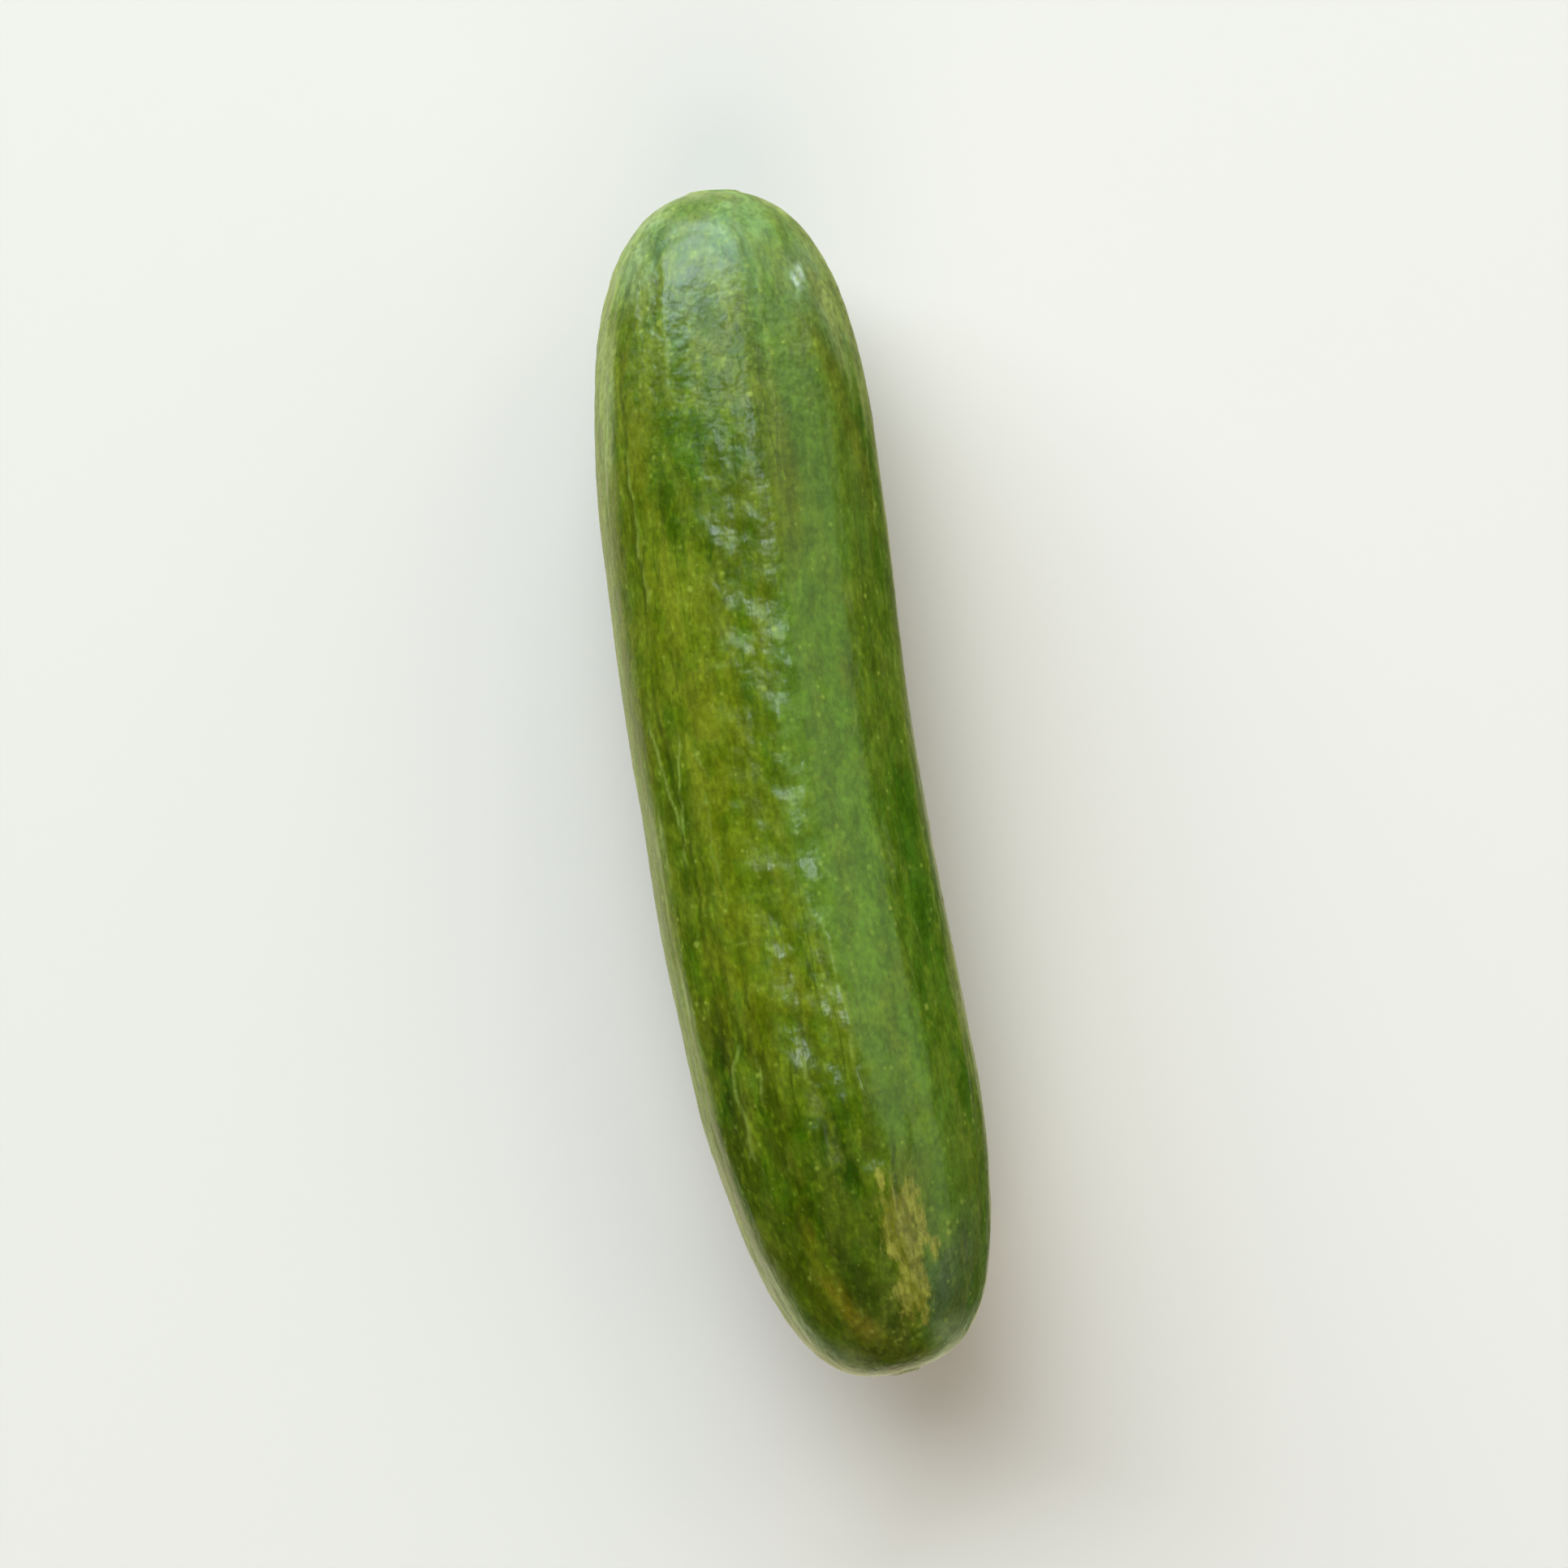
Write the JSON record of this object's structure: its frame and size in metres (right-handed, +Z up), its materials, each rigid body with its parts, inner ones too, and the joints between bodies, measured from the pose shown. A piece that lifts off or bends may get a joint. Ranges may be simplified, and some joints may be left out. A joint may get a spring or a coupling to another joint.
{
  "type": "mini cucumber",
  "caption": "Small whole cucumber with blunt round ends, gently bowed and faintly ribbed, with a sunken stem scar, a low blossom nub and a narrow flat spot to rest on.",
  "frame": {"origin": "on the resting surface, under the middle of the fruit's bounding box", "axes": "+X along the fruit towards the stem end, +Y towards the outer side of its bow, +Z up from the surface it rests on"},
  "size_m": [0.1184, 0.0292, 0.0274],
  "materials": {
    "skin": "waxy satin green fruit skin, with pale flecks, lengthwise olive and yellow-green streaks, a tan stem scar and a corky blossom nub"
  },
  "bodies": {
    "root": {"cucumber": "skin"}
  },
  "joints": []
}
